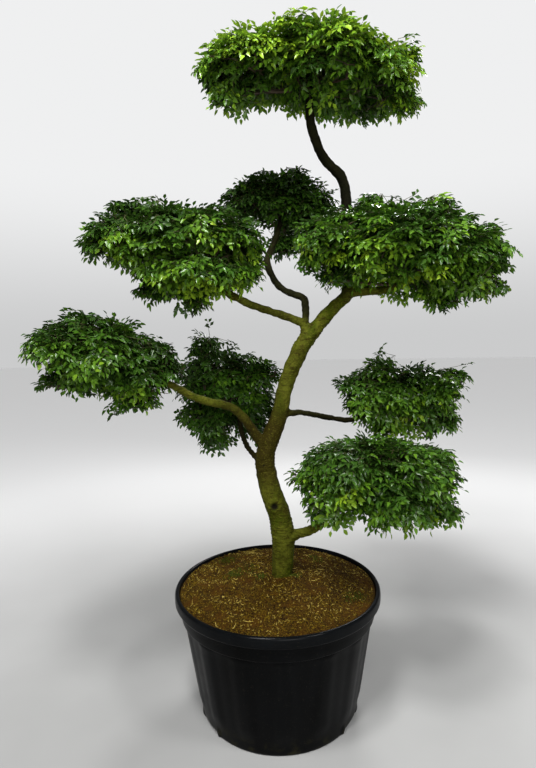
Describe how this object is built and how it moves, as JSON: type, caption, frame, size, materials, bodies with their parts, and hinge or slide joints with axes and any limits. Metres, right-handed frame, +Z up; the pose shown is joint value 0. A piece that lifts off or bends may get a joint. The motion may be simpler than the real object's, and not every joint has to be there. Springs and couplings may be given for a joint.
{
  "type": "potted cloud-pruned elm",
  "caption": "Elm bonsai trained into clipped leafy pads on a bending trunk, standing in a round ribbed black nursery tub filled with soil and mulch.",
  "frame": {"origin": "middle of the underside of the tub", "axes": "+Z up, -Y towards the viewer of the tree's front, +X to the front's right"},
  "size_m": [1.6597, 0.8489, 2.3801],
  "materials": {
    "pot": "satin black, dusty at the foot",
    "soil": "rough, matte",
    "mulch": "fibrous, matte",
    "bark": "rough, matte",
    "leaves": "soft sheen"
  },
  "bodies": {
    "root": {"pot": "pot", "soil": "soil", "mulch": "mulch", "trunk_and_limbs": "bark", "foliage_top": "leaves", "foliage_left": "leaves", "foliage_centre_back": "leaves", "foliage_right": "leaves", "foliage_lower_left": "leaves", "foliage_lower_back": "leaves", "foliage_right_upper": "leaves", "foliage_right_lower": "leaves"}
  },
  "joints": []
}
